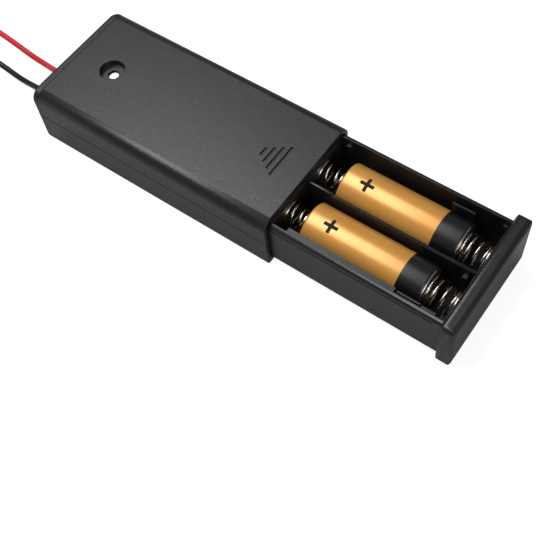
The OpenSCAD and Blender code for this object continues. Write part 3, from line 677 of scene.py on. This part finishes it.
def turned(name, profile, across, skin):
    """A closed solid of revolution about a cell's axis, from (x, radius) pairs."""
    shape = bmesh.new()
    line = [shape.verts.new((x, across, cell_height + radius)) for x, radius in profile]
    edges = [shape.edges.new(pair) for pair in zip(line, line[1:])]
    bmesh.ops.spin(shape, geom=line + edges, cent=(0, across, cell_height), axis=(1, 0, 0),
                   angle=2 * math.pi, steps=facets, use_merge=True)
    mesh = closed_mesh(name, shape, skin)
    mesh.set_sharp_from_angle(angle=math.radians(50))
    return in_scene(name, mesh)


for side in sides:
    low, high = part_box(side + "_cell")
    cell_start, cell_stop, across = low.x, high.x, (low.y + high.y) / 2
    shoulder = cell_start + button_height
    can = [(cell_start, 0)]
    can += arc(cell_start + button_edge, button_radius - button_edge, button_edge, 180, 90)
    can += [(shoulder - 2.5 * button_root, button_radius),
            (shoulder - button_root, button_radius + button_root),
            (shoulder, button_radius + 3 * button_root)]
    can += [(shoulder, can_radius - can_chamfer), (shoulder + can_edge, can_radius)]
    can += arc(cell_stop - can_edge, can_radius - can_edge, can_edge, 90, 0)
    can += [(cell_stop, dish_radius), (cell_stop - dish_depth, dish_radius - dish_wall),
            (cell_stop - dish_depth, 0)]

    lap_top = shoulder - lap_height
    lap_foot = (lap_top + lap_t, cell_radius - lap_depth)
    film = [lap_foot, (lap_top, cell_radius - lap_depth)]
    film += arc(lap_top + lap_edge, cell_radius - lap_edge, lap_edge, 180, 90)
    film += arc(cell_stop - rim_inset, cell_radius - rim_edge, rim_edge, 90, 20)
    film += [(cell_stop - lip_inset, cell_radius - lip_depth), (cell_stop - film_inset, cell_radius - film_t),
             (shoulder + film_inset, cell_radius - film_t), lap_foot]

    foil = shrink_foil(side + "_gold_foil", shoulder, cell_stop, across)
    for piece in (turned(side + "_cell_can", can, across, cell_steel),
                  turned(side + "_cell_sleeve", film, across, foil)):
        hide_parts(side + "_cell")
        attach(piece, "tray")


# ---------------------------------------------------------------- studio
# A white table and a white surround, one large softbox above and behind the
# holder, and one weak fill at its mouth's side.
world = bpy.data.worlds.new("surround")
bpy.context.scene.world = world
world.use_nodes = True
sky = world.node_tree
sky.nodes.clear()
rays = add(sky, "ShaderNodeLightPath").outputs
seen = add(sky, "ShaderNodeMath", {
    0: rays["Is Camera Ray"], 1: rays["Is Transmission Ray"]}, operation="MAXIMUM")
# Metal shows the surround too, but only dimly, because a full white would turn the black plastic grey
glint = add(sky, "ShaderNodeMapRange", {"Value": rays["Is Glossy Ray"], "To Min": 0.13, "To Max": 0.2})
dim = add(sky, "ShaderNodeBackground", {"Color": colour("#e4e6ea"), "Strength": glint.outputs["Result"]})
white = add(sky, "ShaderNodeBackground", {"Color": colour("#ffffff"), "Strength": 1.0})
blend = add(sky, "ShaderNodeMixShader", {0: seen.outputs[0], 1: dim.outputs[0], 2: white.outputs[0]})
add(sky, "ShaderNodeOutputWorld", {0: blend.outputs[0]})

# The table lies a hair below the sleeve's underside, so that the two don't share one plane
table_half = 3.0
table_z = -0.00002
corners = [(x * table_half, y * table_half, table_z) for x, y in ((-1, -1), (1, -1), (1, 1), (-1, 1))]
table_mesh = bpy.data.meshes.new("table")
table_mesh.from_pydata(corners, [], [(0, 1, 2, 3)])
table = in_scene("table", table_mesh)


def white_paper(name):
    # Matt white paper with a painted glow for the camera: a little less than white by the holder, so that its
    # shadow shows, and painted white far from it, where the lamps light it less. The object's gloss mirrors
    # it dimly, as it does the surround
    near_holder = 0.15
    far_away = 0.6
    material, tree, place = new_material(name)
    rays = add(tree, "ShaderNodeLightPath").outputs
    card = add(tree, "ShaderNodeBsdfDiffuse", {"Color": colour("#ababab")})
    distance = add(tree, "ShaderNodeVectorMath", {0: place}, operation="LENGTH").outputs["Value"]
    # Painted light: the camera sees the paper glow brighter with distance from the holder, to make up for the
    # lamps' falloff
    painted_glow = add(tree, "ShaderNodeMapRange", {
        "Value": distance, "From Min": near_holder, "From Max": far_away, "To Min": 0.86, "To Max": 1.0})
    mirrored = add(tree, "ShaderNodeMapRange", {"Value": rays["Is Glossy Ray"], "To Max": 0.08})
    strength = add(tree, "ShaderNodeMix", {
        "Factor": rays["Is Camera Ray"], "A": mirrored.outputs["Result"], "B": painted_glow.outputs["Result"]})
    glow = add(tree, "ShaderNodeEmission", {
        "Color": colour("#ffffff"), "Strength": strength.outputs["Result"]})
    lit = add(tree, "ShaderNodeAddShader", {0: card.outputs[0], 1: glow.outputs[0]})
    add(tree, "ShaderNodeOutputMaterial", {"Surface": lit.outputs[0]})
    return material


table_mesh.materials.append(white_paper("white_paper"))

holder_middle = Vector((0.01, 0, 0.007))


def softbox(name, direction, distance, width, depth, watts):
    """A rectangular lamp that faces the middle of the holder from a direction and a distance."""
    lamp = bpy.data.lights.new(name, "AREA")
    lamp.shape = "RECTANGLE"
    lamp.size = width
    lamp.size_y = depth
    lamp.energy = watts
    box = in_scene(name, lamp)
    towards = Vector(direction).normalized()
    box.location = holder_middle + towards * distance
    box.rotation_euler = towards.to_track_quat("Z", "Y").to_euler()


softbox("overhead", (-0.39, 0.0, 0.92), 0.69, 0.6, 0.34, 3.9)
softbox("front", (0.9, -0.35, 0.45), 0.8, 0.4, 0.4, 2.2)

bpy.context.scene.view_settings.view_transform = "Standard"
bpy.context.view_layer.update()
